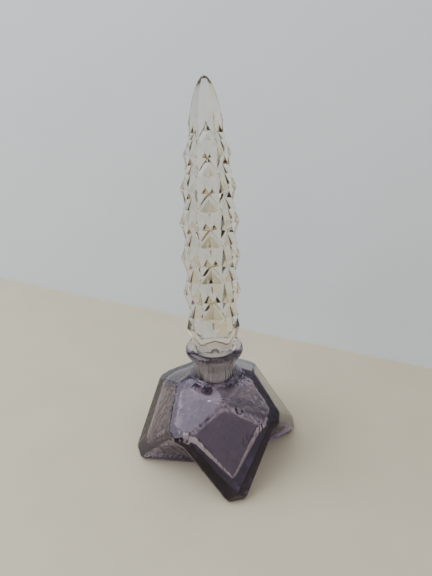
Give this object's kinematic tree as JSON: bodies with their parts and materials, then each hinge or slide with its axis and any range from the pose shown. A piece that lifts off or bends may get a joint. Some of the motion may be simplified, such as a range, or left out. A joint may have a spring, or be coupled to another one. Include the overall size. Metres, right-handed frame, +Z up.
{
  "type": "perfume bottle",
  "caption": "Faceted amethyst pressed-glass perfume bottle on pointed legs, with a round collar and a tall clear diamond-cut obelisk stopper carrying a glass dauber.",
  "frame": {"origin": "on the table, under the middle of the bottle's neck", "axes": "+Z up along the neck and stopper; the legs point along +X, +Y, -X and -Y"},
  "size_m": [0.0674, 0.0674, 0.143],
  "materials": {
    "amethyst_glass": "pressed smoky amethyst glass, smooth above, pebbled under the arches",
    "clear_glass": "clear cut glass with a faint warm tint, ground plug"
  },
  "bodies": {
    "bottle": {"bottle": "amethyst_glass"},
    "dauber": {"dauber": "clear_glass"},
    "stopper": {"stopper": "clear_glass"}
  },
  "joints": [
    {"name": "stopper_lift", "type": "slide", "parent": "bottle", "child": "dauber", "axis": [0, 0, 1], "range_m": [0, 0.045]},
    {"name": "stopper_turn", "type": "hinge", "parent": "dauber", "child": "stopper", "pos_m": [0, 0, 0.04], "axis": [0, 0, 1], "continuous": true}
  ]
}
